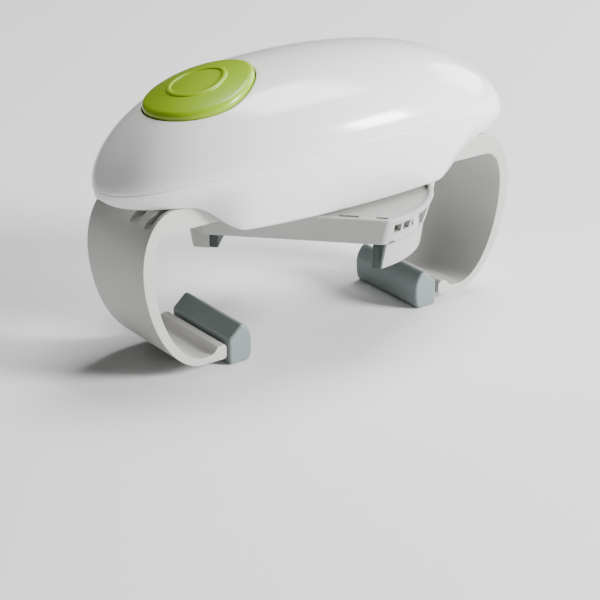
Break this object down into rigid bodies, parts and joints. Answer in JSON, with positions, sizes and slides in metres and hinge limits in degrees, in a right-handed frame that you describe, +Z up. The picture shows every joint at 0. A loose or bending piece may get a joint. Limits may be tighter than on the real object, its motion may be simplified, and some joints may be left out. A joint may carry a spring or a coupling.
{
  "type": "electric jar opener",
  "caption": "Battery powered jar opener: domed housing with a push button, sliding hooked arms that grip the jar, and a turning carrier whose sliding jaws grip and turn the lid.",
  "frame": {"origin": "Middle of the bounding box's underside, which is the jar's axis at the level of the pads' feet", "axes": "+Z up along the jar's axis, X along the housing with the start button at -X, +Y towards the battery door"},
  "size_m": [0.1864, 0.0964, 0.1124],
  "materials": {
    "shell_white": "gloss",
    "button_green": "satin gloss",
    "arm_grey": "satin",
    "pad_rubber": "matte",
    "carrier_grey": "satin",
    "jaw_rubber": "matte",
    "inner_plastic": "matte",
    "gear_plastic": "satin",
    "dark_plastic": "matte",
    "board": "satin",
    "battery": "gloss",
    "steel": "satin",
    "brass": "satin"
  },
  "bodies": {
    "housing": {"upper_shell": "shell_white", "lower_shell": "shell_white", "housing_screws": "steel", "chassis_plate": "inner_plastic", "gearbox_cover": "inner_plastic", "gear_pins": "steel", "spindle_bush": "brass", "motor_can": "steel", "micro_switch": "dark_plastic", "circuit_board": "board", "battery_tray": "dark_plastic", "battery_upper": "battery", "battery_lower": "battery", "battery_contacts": "steel", "button_spring": "steel"},
    "start_button": {"start_button": "button_green", "switch_plunger": "dark_plastic"},
    "battery_door": {"battery_door": "shell_white"},
    "left_arm": {"left_jar_arm": "arm_grey", "left_jar_pad": "pad_rubber"},
    "right_arm": {"right_jar_arm": "arm_grey", "right_jar_pad": "pad_rubber"},
    "jar_pinion": {"jar_pinion": "gear_plastic", "clutch_disc": "brass"},
    "lid_carrier": {"lid_carrier": "carrier_grey", "carrier_retainer": "steel", "carrier_cover": "carrier_grey", "carrier_screws": "steel"},
    "lid_jaw_a": {"lid_jaw_a": "carrier_grey", "jaw_rubber_a": "jaw_rubber"},
    "lid_jaw_b": {"lid_jaw_b": "carrier_grey", "jaw_rubber_b": "jaw_rubber"},
    "drive_spindle": {"drive_spindle": "steel", "drive_gear": "gear_plastic", "lid_pinion": "brass", "clutch_spring": "steel"},
    "motor_rotor": {"motor_shaft": "steel", "motor_pinion": "brass"},
    "first_gear": {"first_gear": "gear_plastic"},
    "second_gear": {"second_gear": "gear_plastic"},
    "third_gear": {"third_gear": "gear_plastic"}
  },
  "joints": [
    {"name": "start_button_press", "type": "slide", "parent": "housing", "child": "start_button", "axis": [0.234, 0, -0.9722], "range_m": [0, 0.0016], "stiffness_N_per_m": 500, "springref_m": -0.002, "deforming": ["button_spring"]},
    {"name": "battery_door_slide", "type": "slide", "parent": "housing", "child": "battery_door", "axis": [0, 1, 0], "range_m": [0, 0.012]},
    {"name": "left_arm_slide", "type": "slide", "parent": "housing", "child": "left_arm", "axis": [1, 0, 0], "range_m": [-0.014, 0.018]},
    {"name": "right_arm_slide", "type": "slide", "parent": "housing", "child": "right_arm", "axis": [-1, 0, 0], "range_m": [-0.014, 0.018]},
    {"name": "jar_pinion_turn", "type": "hinge", "parent": "housing", "child": "jar_pinion", "pos_m": [0, 0, 0.0636], "axis": [0, 0, 1], "range_deg": [-86.5, 67.5]},
    {"name": "lid_carrier_turn", "type": "hinge", "parent": "housing", "child": "lid_carrier", "pos_m": [0, 0, 0.0505], "axis": [0, 0, 1], "continuous": true},
    {"name": "lid_jaw_a_slide", "type": "slide", "parent": "lid_carrier", "child": "lid_jaw_a", "axis": [-0.6947, 0.7193, 0], "range_m": [-0.012, 0.014]},
    {"name": "lid_jaw_b_slide", "type": "slide", "parent": "lid_carrier", "child": "lid_jaw_b", "axis": [0.6947, -0.7193, 0], "range_m": [-0.012, 0.014]},
    {"name": "drive_spindle_turn", "type": "hinge", "parent": "lid_carrier", "child": "drive_spindle", "pos_m": [0, 0, 0.066], "axis": [0, 0, 1], "range_deg": [-115.5, 99.5]},
    {"name": "motor_turn", "type": "hinge", "parent": "housing", "child": "motor_rotor", "pos_m": [0.046, 0, 0.0755], "axis": [0, 0, 1], "continuous": true},
    {"name": "first_gear_turn", "type": "hinge", "parent": "housing", "child": "first_gear", "pos_m": [0.03411, -0.00386, 0.0735], "axis": [0, 0, 1], "continuous": true},
    {"name": "second_gear_turn", "type": "hinge", "parent": "housing", "child": "second_gear", "pos_m": [0.02305, -0.01161, 0.0765], "axis": [0, 0, 1], "continuous": true},
    {"name": "third_gear_turn", "type": "hinge", "parent": "housing", "child": "third_gear", "pos_m": [0.00843, -0.01858, 0.08], "axis": [0, 0, 1], "continuous": true}
  ],
  "couplings": [
    {"joint": "right_arm_slide", "follows": "left_arm_slide", "ratio": 1},
    {"joint": "jar_pinion_turn", "follows": "left_arm_slide", "rad_per_m": -83.333},
    {"joint": "lid_jaw_b_slide", "follows": "lid_jaw_a_slide", "ratio": 1},
    {"joint": "drive_spindle_turn", "follows": "lid_jaw_a_slide", "rad_per_m": -142.86},
    {"joint": "second_gear_turn", "follows": "third_gear_turn", "ratio": -4.4},
    {"joint": "first_gear_turn", "follows": "third_gear_turn", "ratio": 19.36},
    {"joint": "motor_turn", "follows": "third_gear_turn", "ratio": -77.44}
  ]
}
